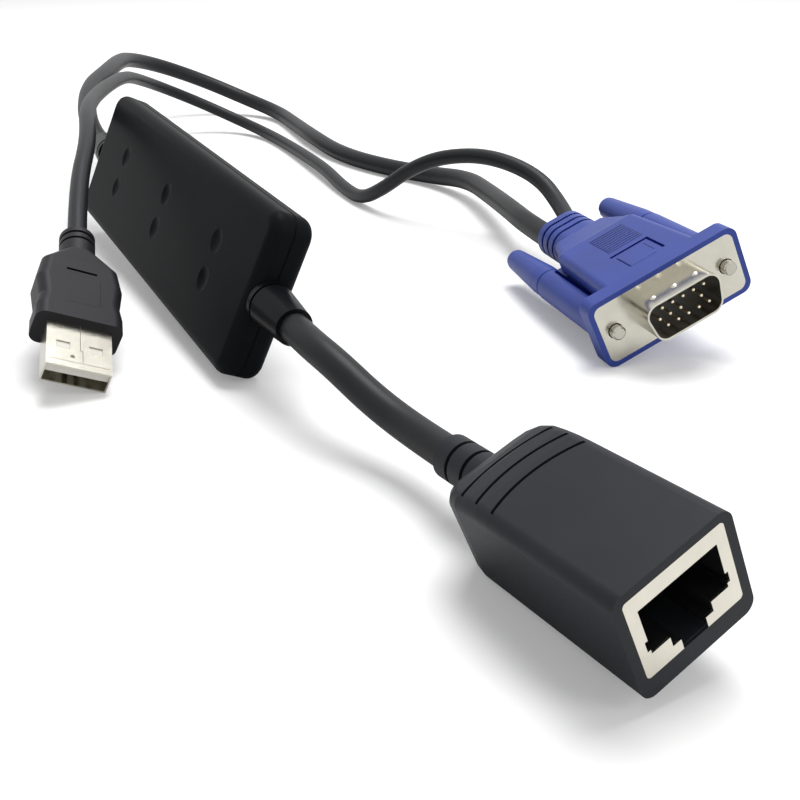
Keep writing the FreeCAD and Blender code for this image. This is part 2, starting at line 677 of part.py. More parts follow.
def make_thumbscrew(name, side):
    """A captive steel screw and the blue knob that is moulded on its shank."""
    across = side * screw_side
    tip, shank = size("screw_tip_radius"), size("screw_shank_radius")
    reach, chamfer = size("screw_reach"), 0.35
    thread_back = reach - size("screw_thread")
    knob_front = -size("barrel_end") - size("knob_gap")
    knob_back = knob_front - size("knob_length")
    screw_back = knob_front - size("screw_embed")
    profile = [(screw_back, 0), (screw_back, shank), (thread_back, shank), (thread_back, tip),
               (reach - chamfer, tip), (reach, tip - chamfer), (reach, 0)]
    screw = turned(profile)
    front, back = size("knob_front_radius"), size("knob_back_radius")
    outline = [(screw_back, 0), (screw_back, shank), (knob_front, shank), (knob_front, front - 0.3),
               (knob_front - 0.3, front), (knob_front - 4, front)]
    end_radius = size("knob_end_radius")
    for step in range(ROUND_STEPS + 1):
        angle = math.pi / 2 * step / ROUND_STEPS
        outline.append((knob_back + end_radius * (1 - math.sin(angle)),
                        back - end_radius * (1 - math.cos(angle))))
    knob = turned(outline + [(knob_back, 0)])
    slot = Part.makeBox(size("knob_slot_deep"), 2 * front, size("knob_slot"),
                        Vector(knob_back, -front, -size("knob_slot") / 2))
    knob = knob.cut(slot)
    aside = Placement(Vector(0, across, 0), Rotation())
    keep(shaped(name + "_turned", moved(screw, aside)), name + "_screw")
    keep(shaped(name + "_grip", moved(knob, aside)), name + "_knob")


make_thumbscrew("left", -1)
make_thumbscrew("right", 1)

# --- USB plug --------------------------------------------------------------------------------------

shell_total = size("usb_shell_out") + size("usb_shell_in")
shell_outer = block("usb_outer", "0 - usb_shell_out - usb_shell_in", "usb_shell_out + usb_shell_in",
                    "usb_shell_width", "usb_shell_height")
shell_inner = block("usb_inner", "0 - usb_shell_out - usb_shell_in - 1",
                    "usb_shell_out + usb_shell_in + 2", "usb_shell_width - 2 * usb_sheet",
                    "usb_shell_height - 2 * usb_sheet")
latch_holes = [block(f"usb_hole_{side + 1}", "0 - usb_hole_from_tip - usb_hole_along / 2",
                     "usb_hole_along", "usb_hole_across", "2 * usb_shell_height",
                     across=f"{side} * usb_hole_spacing / 2") for side in (-1, 1)]
keep(cut("usb_tube", shell_outer, [shell_inner] + latch_holes), "usb_shell")

tongue = block("usb_carrier", "0 - usb_shell_out - usb_shell_in",
               "usb_shell_out + usb_shell_in - usb_tongue_back", "usb_shell_width - 2 * usb_sheet",
               "usb_tongue", up="usb_shell_height / 2 - usb_sheet - usb_tongue / 2")
keep(group("usb_tongue", [tongue]), "usb_tongue_block")

strips = [block(f"usb_contact_{number + 1}", "0 - usb_tongue_back - 1 - usb_contact_length",
                "usb_contact_length", "usb_contact_width", "usb_contact_sheet",
                across=f"{number - 1.5} * usb_contact_pitch",
                up="usb_shell_height / 2 - usb_sheet - usb_tongue - usb_contact_sheet / 2")
          for number in range(4)]
keep(group("usb_contact_row", strips), "usb_contacts")

usb_front = -size("usb_shell_out")
usb_back = usb_front - size("usb_body_length")
usb_neck_start = usb_back - size("usb_shoulder")
usb_neck_end = usb_neck_start - size("usb_neck_length")
usb_core = rounded_prism(usb_back + 1, -shell_total - usb_back - 1, size("usb_shell_width") - 1,
                         size("usb_shell_height"), 0.8)
keep(shaped("usb_fill", usb_core), "usb_inner_mould")


def make_usb_overmould():
    wide, high = size("usb_body_width"), size("usb_body_height")
    waist = size("usb_waist")
    radius = size("usb_neck_radius")
    front = rounded_prism(usb_front - 3.5, 3.5, wide, high, 2.0)
    grip = Part.makeLoft([rounded_wire(usb_front - 3.5, wide, high, 2.0),
                          rounded_wire(usb_front - 6.5, wide - 2 * waist, high, 2.0),
                          rounded_wire(usb_front - 12, wide + 0.2, high, 2.0),
                          rounded_wire(usb_back, wide - 1.4, high, 2.0)], True, True)
    shoulder = Part.makeLoft([rounded_wire(usb_back, wide - 1.4, high, 2.0),
                              rounded_wire(usb_neck_start, 2 * radius, 2 * radius, radius * 0.75)],
                             True, True)
    neck = cylinder(usb_neck_end, usb_neck_start, radius)
    shape = front.fuse([grip, shoulder, neck])
    slot = size("usb_ring_slot")
    for index in range(2):
        start = usb_neck_end + 1.2 + index * (slot + 1.3)
        shape = shape.cut(cylinder(start, start + slot, radius + 1).cut(
            cylinder(start, start + slot, radius - slot)))
    room = Part.makeBox(size("usb_shell_in"), size("usb_shell_width"), size("usb_shell_height"),
                        Vector(-shell_total, -size("usb_shell_width") / 2, -size("usb_shell_height") / 2))
    return shape.cut(room).cut(usb_core).removeSplitter()


keep(shaped("usb_moulding", make_usb_overmould()), "usb_overmould")

# --- places: each group lies with its lowest point on the surface --------------------------------

GROUPS = {
    "box": ["front_shell", "rear_shell", "circuit_board", "main_chip", "interface_chip", "crystal",
            "network_header", "video_header", "capacitors", "near_boot", "far_boot"],
    "socket": ["socket_housing", "jack_shield", "jack_insert", "jack_contacts", "socket_inner_mould"],
    "video": ["video_hood", "flange_shell", "rear_flange", "pin_block", "video_pins",
              "video_inner_mould", "left_screw", "left_knob", "right_screw", "right_knob"],
    "usb": ["usb_overmould", "usb_shell", "usb_tongue_block", "usb_contacts", "usb_inner_mould"],
}
doc.recompute()


def lay_down(members, x, y, turn):
    """Place a group at x, y and let its lowest point touch the surface at z = 0."""
    lowest = min(nodes[label].Shape.transformed(Placement(Vector(), turn).toMatrix(), copy=True)
                 .optimalBoundingBox(False, False).ZMin for label in members)
    place = Placement(Vector(x, y, -lowest), turn)
    for label in members:
        nodes[label].Placement = place
    return place


frames = {
    "box": lay_down(GROUPS["box"], 0, 0, Rotation(0, size("box_pitch"), -size("box_lean"))),
}
for name in ("socket", "video", "usb"):
    turn = Rotation(size(name + "_yaw"), size(name + "_pitch"), size(name + "_roll"))
    frames[name] = lay_down(GROUPS[name], size(name + "_x"), size(name + "_y"), turn)

# --- cords: straight runs joined by tangent arcs --------------------------------------------------

ARC_SHARE = 0.45


def on(frame, x, y=0.0, z=0.0):
    return frames[frame].multVec(Vector(x, y, z))


def make_cord(label, begin, middle, end, diameter):
    """A round cord whose route turns at each point by the largest arc that its runs allow."""
    points = [begin] + [Vector(*point) for point in middle] + [end]
    edges = []
    radii = []
    here = points[0]
    for index in range(1, len(points) - 1):
        corner = points[index]
        back, ahead = points[index - 1] - corner, points[index + 1] - corner
        turn = math.pi - back.getAngle(ahead)
        trim = ARC_SHARE * min(back.Length, ahead.Length)
        radii.append(trim / math.tan(turn / 2))
        start = corner + back.normalize() * trim
        finish = corner + ahead.normalize() * trim
        inward = (back + ahead).normalize()
        centre = corner + inward * (radii[-1] / math.cos(turn / 2))
        bow = centre + (corner - centre).normalize() * radii[-1]
        edges.append(Part.LineSegment(here, start).toShape())
        edges.append(Part.Arc(start, bow, finish).toShape())
        here = finish
    edges.append(Part.LineSegment(here, points[-1]).toShape())
    path = Part.Wire(edges)
    ring = Part.Wire(Part.makeCircle(diameter / 2, points[0], points[1] - points[0]))
    tube = path.makePipeShell([ring], True, True)
    expected = path.Length * math.pi * diameter ** 2 / 4
    print(f"{label}: length {path.Length:.1f}, volume {tube.Volume:.1f} of {expected:.1f},"
          f" radii {[round(radius, 1) for radius in radii]}")
    print(f"{label}: points {[tuple(round(value, 2) for value in point) for point in points]}")
    return keep(shaped(label + "_tube", tube), label)


collar_end = -size("socket_length") - size("collar_length")
hood_end = -size("hood_length") - size("neck_length")
boot_end = size("box_length") / 2 + size("boot_length")

make_cord("network_cord", on("box", boot_end), [
    on("box", boot_end + 6.8), (83.1, 1.3, 13.7), (91.6, 3.9, 10.2), on("socket", collar_end - 10),
], on("socket", collar_end), size("network_cord"))

make_cord("video_cord", on("video", hood_end, -size("cord_spread")), [
    on("video", hood_end - 13.6, -size("cord_spread")), (2.2, 88.3, 8.7), (-19.5, 95.8, 6.8),
    (-40.4, 101.4, 5.7), (-58.9, 99.5, 3.1), (-78, 91.5, 2.85), (-101.8, 86.7, 2.85),
    (-129.5, 88.3, 3.7), (-157.6, 93.1, 2.85), (-182.3, 96.3, 2.85), (-200.1, 88.1, 6.7),
    (-209.6, 72.2, 14.3), (-207.4, 53.7, 21.7), (-193.7, 38.6, 26.5), (-169.8, 29.1, 28.4),
    (-144.6, 19.4, 28.9), (-121.3, 8.7, 28.3), (-99.6, 2.3, 25.1), on("box", -boot_end - 12.7),
], on("box", -boot_end), size("video_cord"))

make_cord("usb_cord", on("video", hood_end, size("cord_spread")), [
    (23, 89.7, 14), (10.2, 91.1, 18.9), (-4.4, 86, 21.6), (-17.4, 79.4, 19.6), (-27.6, 74.6, 14.6),
    (-36.8, 70.4, 7.2), (-47.4, 68.6, 2.1), (-62.7, 69.7, 2.1), (-82.2, 72.5, 3.2),
    (-104.6, 75.2, 2.7), (-127.7, 77.6, 2.1), (-149.1, 78.2, 2.1), (-165.6, 72.8, 4.8),
    (-174.1, 60, 11.4), (-171.7, 45.1, 18.5), (-157.6, 33.4, 24.1), (-134.4, 23.4, 28.8),
    (-107.1, 12.1, 31), (-79.2, 1.2, 32.2), (-53.1, -6.6, 33.4), (-29.7, -11.6, 30.4),
    on("usb", usb_neck_end - 21),
], on("usb", usb_neck_end), size("usb_cord"))

# --- check and write -----------------------------------------------------------------------------

doc.recompute()
for item in doc.Objects:
    if any(word in item.State for word in ("Invalid", "Error")):
        raise RuntimeError(f"{item.Name} did not recompute: {item.State}")
for label, node in nodes.items():
    if node.Shape.isNull() or not node.Shape.isValid():
        raise RuntimeError(f"{label} has no valid shape")
    node.Shape.exportStep(f"parts/{label}.step")
    box = node.Shape.BoundBox
    print(f"{label:20s} solids {len(node.Shape.Solids)} volume {node.Shape.Volume:9.2f}"
          f"  x {box.XMin:7.1f} {box.XMax:7.1f}  y {box.YMin:6.1f} {box.YMax:6.1f}"
          f"  z {box.ZMin:6.2f} {box.ZMax:6.2f}")
for name, frame in frames.items():
    print(name, "at", tuple(round(value, 3) for value in frame.Base),
          "x axis", tuple(round(value, 5) for value in frame.Rotation.multVec(Vector(1, 0, 0))))
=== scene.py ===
# %% [markdown]
# # A keyboard-video-mouse dongle on a pale table
# The part is a flat black box with two moulded boots. A short cord leads to a network socket,
# and a long one to a blue video plug, from which a thinner cord leads on to a USB plug.
# The solid model is loaded as a fixed frame first, so every dressed piece is built where the
# solid one lies, in metres.

# %% Load the frame
import json
import math

import bmesh
import bpy
from mathutils import Matrix, Vector


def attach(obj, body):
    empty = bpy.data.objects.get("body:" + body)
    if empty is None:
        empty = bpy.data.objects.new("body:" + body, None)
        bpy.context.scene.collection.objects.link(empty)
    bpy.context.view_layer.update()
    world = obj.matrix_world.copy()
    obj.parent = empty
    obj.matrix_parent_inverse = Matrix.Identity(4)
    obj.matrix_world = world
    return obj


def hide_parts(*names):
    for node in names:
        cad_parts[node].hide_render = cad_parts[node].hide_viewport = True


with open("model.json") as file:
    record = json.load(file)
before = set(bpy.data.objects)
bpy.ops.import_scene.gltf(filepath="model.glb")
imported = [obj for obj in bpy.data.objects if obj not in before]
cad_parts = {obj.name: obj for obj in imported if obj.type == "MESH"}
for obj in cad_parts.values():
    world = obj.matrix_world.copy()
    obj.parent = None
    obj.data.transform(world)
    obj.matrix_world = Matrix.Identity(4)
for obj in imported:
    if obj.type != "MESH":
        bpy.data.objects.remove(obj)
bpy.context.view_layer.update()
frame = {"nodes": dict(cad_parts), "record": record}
node = frame["nodes"]
record = frame["record"]
MM = 0.001

# %% [markdown]
# Each of the four hard groups lies on the table in its own direction. The record's mounts give
# a point and the direction of each mouth, so only the roll about that direction is a number.
# A matrix per group then lets a piece be drawn in plain millimetres: X out of the mouth,
# Y to the right of somebody who looks into it, and Z up.

# %% Where each group lies
ROLL = {"socket": 22.03, "video": 25.3, "usb": -24.0}
MOUTH = {"socket": ("network_jack", Vector((0, 0, 1.2))), "video": ("video_plug", Vector((5.9, 0, 0))),
         "usb": ("usb_plug", Vector((0, 0, 0)))}
mounts = {mount["name"]: mount for mount in record["mounts"]}
place = {}
for group, (mount_name, offset) in MOUTH.items():
    out = Vector(mounts[mount_name]["axis"])
    yaw, pitch = math.atan2(out.y, out.x), -math.asin(out.z)
    turn = (Matrix.Rotation(yaw, 4, "Z") @ Matrix.Rotation(pitch, 4, "Y")
            @ Matrix.Rotation(math.radians(ROLL[group]), 4, "X"))
    base = Vector(mounts[mount_name]["pos_m"]) - turn @ (offset * MM)
    place[group] = Matrix.Translation(base) @ turn @ Matrix.Scale(MM, 4)
    print(group, "stands at", [round(value * 1000, 2) for value in base])

# %% [markdown]
# ## Finishes
# Everything here is moulded or plated, so the finishes differ in small things: how fine the
# grain of the mould is, how broad the highlight, and how much the colour drifts. One function
# builds such a finish from two noise patterns on Object coordinates. The broad one moves the
# colour and the roughness a little, and the fine one lifts the surface as the mould's grain.

# %% A moulded finish


def tint(colour, factor):
    """The colour made lighter or darker by a factor."""
    return tuple(min(1.0, channel * factor) for channel in colour) + (1.0,)


def add_noise(tree, coordinates, grain_mm, detail):
    """A noise pattern whose blotches are about grain_mm wide."""
    noise = tree.nodes.new("ShaderNodeTexNoise")
    noise.inputs["Scale"].default_value = 1.0 / (grain_mm * MM)
    noise.inputs["Detail"].default_value = detail
    tree.links.new(coordinates, noise.inputs["Vector"])
    return noise.outputs["Fac"]


def moulded(name, colour, roughness, drift=0.08, broad_mm=9.0, grain_mm=0.35, lift_mm=0.012,
            metallic=0.0, coat=0.0, specular=0.5):
    """A procedural finish: colour and roughness drift, and a fine grain stands up."""
    material = bpy.data.materials.new(name)
    material.use_nodes = True
    tree = material.node_tree
    shader = tree.nodes["Principled BSDF"]
    coordinates = tree.nodes.new("ShaderNodeTexCoord").outputs["Object"]
    broad = add_noise(tree, coordinates, broad_mm, 3)
    ramp = tree.nodes.new("ShaderNodeValToRGB")
    ramp.color_ramp.elements[0].position = 0.3
    ramp.color_ramp.elements[0].color = tint(colour, 1 - drift)
    ramp.color_ramp.elements[1].position = 0.7
    ramp.color_ramp.elements[1].color = tint(colour, 1 + drift)
    tree.links.new(broad, ramp.inputs["Fac"])
    tree.links.new(ramp.outputs["Color"], shader.inputs["Base Color"])
    fine = add_noise(tree, coordinates, grain_mm, 2)
    spread = tree.nodes.new("ShaderNodeMapRange")
    spread.inputs["To Min"].default_value = max(0.05, roughness - 0.06)
    spread.inputs["To Max"].default_value = roughness + 0.06
    tree.links.new(fine, spread.inputs["Value"])
    tree.links.new(spread.outputs["Result"], shader.inputs["Roughness"])
    bump = tree.nodes.new("ShaderNodeBump")
    bump.inputs["Strength"].default_value = 0.6
    bump.inputs["Distance"].default_value = lift_mm * MM
    tree.links.new(fine, bump.inputs["Height"])
    tree.links.new(bump.outputs["Normal"], shader.inputs["Normal"])
    shader.inputs["Metallic"].default_value = metallic
    shader.inputs["Coat Weight"].default_value = coat
    shader.inputs["Coat Roughness"].default_value = 0.25
    shader.inputs["Specular IOR Level"].default_value = specular
    return material


# %% [markdown]
# The box is the darkest plastic and reflects least, the plugs and cords are a little greyer,
# and the blue hood is the only bright one. The metals differ in tone: the jack's plate is the
# brightest, the video flange and the USB shell are duller, and the screws are darker again.

# %% The finishes of this dongle
case_black = moulded("case_black", (0.0068, 0.0076, 0.0088), 0.40, grain_mm=0.3, lift_mm=0.008,
                     specular=0.02)
boot_black = moulded("boot_black", (0.0040, 0.0045, 0.0055), 0.30, grain_mm=0.5, lift_mm=0.002,
                     specular=0.08)
cord_black = moulded("cord_black", (0.014, 0.015, 0.017), 0.42, grain_mm=0.4, lift_mm=0.010,
                     specular=0.18)
socket_grey = moulded("socket_grey", (0.015, 0.017, 0.021), 0.44, grain_mm=0.4, lift_mm=0.012,
                      specular=0.16)
plug_grey = moulded("plug_grey", (0.015, 0.014, 0.017), 0.45, grain_mm=0.4, lift_mm=0.012,
                    specular=0.16)
hood_blue = moulded("hood_blue", (0.020, 0.046, 0.27), 0.42, grain_mm=0.45, lift_mm=0.012,
                    specular=0.35)
# Painted shade: the next two finishes are dark navy and near-black colours for bars that stand in for
# the shade inside engraved grooves, slots and the gaps at the knobs.
groove_shade_navy = moulded("groove_shade_navy", (0.003, 0.006, 0.075), 0.7, grain_mm=0.4, specular=0.0)
groove_shade_black = moulded("groove_shade_black", (0.002, 0.002, 0.002), 0.7, grain_mm=0.4, specular=0.0)
patch_blue = moulded("patch_blue", (0.016, 0.030, 0.18), 0.50, grain_mm=0.4, specular=0.3)
rib_blue = moulded("rib_blue", (0.022, 0.042, 0.235), 0.45, grain_mm=0.4, specular=0.35)
seam_shadow = moulded("seam_shadow", (0.16, 0.14, 0.11), 0.55, metallic=0.6, grain_mm=0.4)
nickel = moulded("nickel", (0.72, 0.69, 0.60), 0.24, drift=0.05, broad_mm=4, grain_mm=0.6,
                 lift_mm=0.003, metallic=1.0)
dull_nickel = moulded("dull_nickel", (0.57, 0.55, 0.48), 0.22, drift=0.09, broad_mm=5, grain_mm=0.6,
                      lift_mm=0.003, metallic=1.0)
screw_steel = moulded("screw_steel", (0.46, 0.44, 0.39), 0.26, drift=0.05, grain_mm=0.3,
                      lift_mm=0.004, metallic=1.0)
contact_gold = moulded("contact_gold", (0.74, 0.66, 0.52), 0.25, drift=0.10, broad_mm=1.5,
                       grain_mm=0.3, lift_mm=0.003, metallic=1.0)
insulator_black = moulded("insulator_black", (0.008, 0.008, 0.009), 0.35, grain_mm=0.4)
insulator_white = moulded("insulator_white", (0.62, 0.60, 0.54), 0.45, drift=0.05, grain_mm=0.4)
board_green = moulded("board_green", (0.02, 0.12, 0.05), 0.35, grain_mm=0.5)
chip_black = moulded("chip_black", (0.02, 0.02, 0.02), 0.6, grain_mm=0.3)
can_silver = moulded("can_silver", (0.65, 0.65, 0.66), 0.35, metallic=1.0, grain_mm=0.3)
header_nylon = moulded("header_nylon", (0.62, 0.58, 0.48), 0.45, grain_mm=0.4)
print("finishes:", len(bpy.data.materials))

# %% [markdown]
# The solids whose shape is already right stay, and only take their finish here.

# %% Finishes for the solids
FINISH = {
    "front_shell": case_black, "rear_shell": case_black, "circuit_board": board_green,
    "main_chip": chip_black, "interface_chip": chip_black, "crystal": can_silver,
    "network_header": header_nylon, "video_header": header_nylon, "capacitors": can_silver,
    "near_boot": boot_black, "far_boot": boot_black, "socket_housing": socket_grey,
    "jack_shield": nickel, "jack_insert": insulator_black, "jack_contacts": contact_gold,
    "socket_inner_mould": insulator_white, "video_hood": hood_blue, "flange_shell": dull_nickel,
    "rear_flange": dull_nickel, "pin_block": insulator_black, "video_pins": contact_gold,
    "video_inner_mould": insulator_white, "left_screw": screw_steel, "left_knob": hood_blue,
    "right_screw": screw_steel, "right_knob": hood_blue, "usb_overmould": plug_grey,
    "usb_shell": dull_nickel, "usb_tongue_block": insulator_white, "usb_contacts": contact_gold,
    "usb_inner_mould": insulator_white,
}
for name, material in FINISH.items():
    node[name].data.materials.clear()
    node[name].data.materials.append(material)
print("dressed solids:", len(FINISH))

# %% [markdown]
# ## Cords
# A moulded cord is stiff for its size, so it keeps wide curves. Each is one smooth line with
# the route's points as control points. A curve with a round bevel gives the jacket, and it
# touches the table only where the route comes down to it.

# %% A cord along a route


def lay_cord(name, route, diameter):
    """A round cord whose line is a smooth spline through the pull of the route's points."""
    curve = bpy.data.curves.new(name, "CURVE")
    curve.dimensions = "3D"
    curve.resolution_u = 12
    curve.bevel_depth = diameter / 2 * MM
    curve.bevel_resolution = 7
    curve.use_fill_caps = True
    line = curve.splines.new("NURBS")
    line.points.add(len(route) - 1)
    for point, (x, y, z) in zip(line.points, route):
        point.co = (x * MM, y * MM, z * MM, 1)
    line.order_u = 3
    line.use_endpoint_u = True
    cord = bpy.data.objects.new(name, curve)
    bpy.context.scene.collection.objects.link(cord)
    curve.materials.append(cord_black)
    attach(cord, "dongle")
    return cord


NETWORK_ROUTE = [
    (68.74, 0, 15.23), (75.54, 0, 14.95), (83.1, 1.3, 13.7), (91.6, 3.9, 10.2),
    (101.7, 6.36, 8.33), (111.66, 6.88, 9.08),
]
VIDEO_ROUTE = [
    (-68.74, 0, 20.75), (-81.43, 0, 21.26), (-99.6, 2.3, 25.1), (-121.3, 8.7, 28.3),
    (-144.6, 19.4, 28.9), (-169.8, 29.1, 28.4), (-193.7, 38.6, 26.5), (-207.4, 53.7, 21.7),
    (-209.6, 72.2, 14.3), (-200.1, 88.1, 6.7), (-182.3, 96.3, 2.85), (-157.6, 93.1, 2.85),
    (-129.5, 88.3, 3.7), (-101.8, 86.7, 2.85), (-78, 91.5, 2.85), (-58.9, 99.5, 3.1),
    (-40.4, 101.4, 5.7), (-19.5, 95.8, 6.8), (2.2, 88.3, 8.7), (20.6, 82.03, 9.85),
    (33.93, 79.34, 10.28),
]
USB_ROUTE = [
    (34.83, 84.23, 12.63), (23, 89.7, 14), (10.2, 91.1, 18.9), (-4.4, 86, 21.6),
    (-17.4, 79.4, 19.6), (-27.6, 74.6, 14.6), (-36.8, 70.4, 7.2), (-47.4, 68.6, 2.1),
    (-62.7, 69.7, 2.1), (-82.2, 72.5, 3.2), (-104.6, 75.2, 2.7), (-127.7, 77.6, 2.1),
    (-149.1, 78.2, 2.1), (-165.6, 72.8, 4.8), (-174.1, 60, 11.4), (-171.7, 45.1, 18.5),
    (-157.6, 33.4, 24.1), (-134.4, 23.4, 28.8), (-107.1, 12.1, 31), (-79.2, 1.2, 32.2),
    (-53.1, -6.6, 33.4), (-29.7, -11.6, 30.4), (-10.34, -19.01, 24.76), (8.86, -24.09, 17.92),
]

# %% [markdown]
# The network and video cords share a jacket size, and the USB cord is thinner. Each one stands
# in for the plain tube of the solid model, along the same route.

# %% The three cords
network_cord = lay_cord("network_flex", NETWORK_ROUTE, 5.5)
video_cord = lay_cord("video_flex", VIDEO_ROUTE, 5.5)
usb_cord = lay_cord("usb_flex", USB_ROUTE, 4.0)
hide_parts("network_cord")
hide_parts("video_cord")
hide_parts("usb_cord")
for route in (NETWORK_ROUTE, VIDEO_ROUTE, USB_ROUTE):
    print("a cord with", len(route), "route points, from", route[0], "to", route[-1])

# %% [markdown]
# ## Small raised and sunk details
# The solids already have the main shapes. What is left are thin things that a mould or a die
# leaves behind: grip ribs, engraved lines, a seam, rounded pin tips. Bars with bevelled edges
# make the straight ones. A sunk line is a bar coloured with painted shade, whose top is only
# just above the surface. The painted shade stands in for the groove, which costs a few faces
# instead of a cut through the whole moulding.

# %% Bars, turned pieces and how they are finished


def add_bar(shape, where, length, width, height, edge=0.05):
    """A bevelled bar, centred on the matrix where, with its length along X."""
    stretch = Matrix.Diagonal((length, width, height, 1))
    made = bmesh.ops.create_cube(shape, size=1.0, matrix=where @ stretch)
    edges = list({side for corner in made["verts"] for side in corner.link_edges})
    bmesh.ops.bevel(shape, geom=edges, offset=edge, offset_type="OFFSET", segments=2,
                    profile=0.5, affect="EDGES", material=-1, clamp_overlap=True)


def add_turned(shape, profile, y, z=0.0, steps=24):
    """A turned piece: a profile of (x, radius) pairs spun about a line along X."""
    corners = [shape.verts.new((x, y, z + radius)) for x, radius in profile]
    sides = [shape.edges.new(pair) for pair in zip(corners, corners[1:])]
    bmesh.ops.spin(shape, geom=corners + sides, cent=(0, y, z), axis=(1, 0, 0),
                   angle=2 * math.pi, steps=steps, use_merge=True, use_duplicate=False)


def finish_piece(shape, name, group, material, body="dongle", smooth=False):
    """Close the bmesh, put it in its group's place and let it ride on its body."""
    bmesh.ops.remove_doubles(shape, verts=shape.verts, dist=0.0005)
    bmesh.ops.recalc_face_normals(shape, faces=shape.faces)
    mesh = bpy.data.meshes.new(name)
    shape.to_mesh(mesh)
    shape.free()
    if smooth:
        mesh.shade_smooth()
        mesh.set_sharp_from_angle(angle=math.radians(35))
    mesh.transform(place[group])
    mesh.materials.append(material)
    piece = bpy.data.objects.new(name, mesh)
    bpy.context.scene.collection.objects.link(piece)
    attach(piece, body)
    print(name, "has", len(mesh.polygons), "faces")
    return piece


# %% [markdown]
# The hood's top falls away a little towards the cords. Everything on it is set on that slope:
# a patch of grip ribs that run across, and in front of them a small raised panel inside an
# engraved angle.

# %% Grip ribs and the engraved angle on the hood
HOOD_FRONT, HOOD_REAR = (-4.0, 7.0), (-27.5, 6.5)
hood_slope = math.atan2(HOOD_FRONT[1] - HOOD_REAR[1], HOOD_FRONT[0] - HOOD_REAR[0])


def on_hood(x, y, lift):
    """A matrix on the hood's top, at x and y, lifted square to the surface."""
    height = HOOD_FRONT[1] + (x - HOOD_FRONT[0]) * math.tan(hood_slope)
    return (Matrix.Translation((x, y, height)) @ Matrix.Rotation(-hood_slope, 4, "Y")
            @ Matrix.Translation((0, 0, lift)))


PATCH_X, PATCH_Y, PATCH_LONG, PATCH_WIDE = -20.9, 1.2, 9.7, 8.2
RIB_COUNT, RIB_PITCH, RIB_FIRST, RIB_THICK, RIB_WIDE = 10, 0.98, -25.3, 0.42, 7.9
shape = bmesh.new()
add_bar(shape, on_hood(PATCH_X, PATCH_Y, -0.12), PATCH_LONG, PATCH_WIDE, 0.28)
patch = finish_piece(shape, "grip_patch", "video", patch_blue)

shape = bmesh.new()
for rib in range(RIB_COUNT):
    add_bar(shape, on_hood(RIB_FIRST + rib * RIB_PITCH, PATCH_Y, 0.0), RIB_THICK, RIB_WIDE, 0.28,
            edge=0.1)
ribs = finish_piece(shape, "grip_ribs", "video", rib_blue)

# %% [markdown]
# The panel is a low bar. The engraved angle is two bars of painted shade, one across the hood and one
# along it, and two finer bars of painted shade edge the panel. A bar of painted shade runs beside each
# screw barrel as its slot.

# %% The panel and the painted shade of its grooves
PANEL_X, PANEL_SIDE = -9.5, 6.0
SLOT_X, SLOT_Y, SLOT_Z = -19.8, 11.05, 3.17
shape = bmesh.new()
add_bar(shape, on_hood(PANEL_X, 0.2, -0.06), PANEL_SIDE, PANEL_SIDE, 0.3, edge=0.1)
panel = finish_piece(shape, "hood_panel", "video", hood_blue)

# Painted shade: these dark bars stand in for the shade in the engraved angle, along the panel's edges
# and in the barrel slots.
shape = bmesh.new()
add_bar(shape, on_hood(-14.0, 0.75, -0.07), 0.62, 8.7, 0.26)
add_bar(shape, on_hood(-10.6, 4.9, -0.07), 7.3, 0.58, 0.26)
add_bar(shape, on_hood(PANEL_X, -2.95, -0.1), PANEL_SIDE, 0.22, 0.24)
add_bar(shape, on_hood(-10.3, 3.3, -0.1), 4.5, 0.16, 0.24)
for side in (-1, 1):
    add_bar(shape, Matrix.Translation((SLOT_X, side * SLOT_Y, SLOT_Z)), 17.0, 0.85, 0.3)
groove_shade_bars = finish_piece(shape, "hood_groove_shade", "video", groove_shade_navy)

# %% [markdown]
# Between each barrel and its knob there is a gap, dark because it is deep. A thin sleeve of painted
# shade round the screw, a little smaller than the barrel, fills the gap with that darkness, and stays
# still as the knob turns.

# %% Painted shade in the gaps at the knobs
SCREW_SIDE, BARREL_END, SLEEVE_END = 12.495, -29.5, -30.05
SLEEVE_BORE, SLEEVE_RADIUS = 1.8, 3.05
sleeve_profile = [(BARREL_END, SLEEVE_BORE), (BARREL_END, SLEEVE_RADIUS),
                  (SLEEVE_END, SLEEVE_RADIUS), (SLEEVE_END, SLEEVE_BORE), (BARREL_END, SLEEVE_BORE)]
# Painted shade: the dark sleeves stand in for the shade inside the gaps.
shape = bmesh.new()
for side in (-1, 1):
    add_turned(shape, sleeve_profile, side * SCREW_SIDE)
gap_shade_sleeves = finish_piece(shape, "knob_gap_shade", "video", groove_shade_navy, smooth=True)

# %% [markdown]
# The fourteen pins of the video plug are turned wire with rounded tips. One profile is spun
# fourteen times, in three rows, the middle one shifted by half a pitch and short of one pin.

# %% The video plug's pins
PIN_RADIUS, PIN_REACH, PIN_BACK = 0.38, 4.8, -12.0
PIN_PITCH, PIN_ROW, PIN_SHIFT = 2.29, 1.98, 0.57
TIP_STEPS, PIN_COLUMNS, MISSING_PIN = 3, 5, (0, 3)
pin_profile = [(PIN_BACK, 0), (PIN_BACK, PIN_RADIUS), (PIN_REACH - PIN_RADIUS, PIN_RADIUS)]
for step in range(1, TIP_STEPS + 1):
    angle = step * math.pi / 2 / TIP_STEPS
    pin_profile.append((PIN_REACH - PIN_RADIUS * (1 - math.sin(angle)), PIN_RADIUS * math.cos(angle)))
shape = bmesh.new()
for row in (1, 0, -1):
    shift = PIN_SHIFT if row else PIN_SHIFT - 0.5 * PIN_PITCH
    for column in range(PIN_COLUMNS):
        if (row, column) == MISSING_PIN:
            continue
        across = (column - PIN_COLUMNS // 2) * PIN_PITCH + shift
        add_turned(shape, pin_profile, across, row * PIN_ROW, steps=12)
pin_rows = finish_piece(shape, "pin_rows", "video", contact_gold, smooth=True)
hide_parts("video_pins")

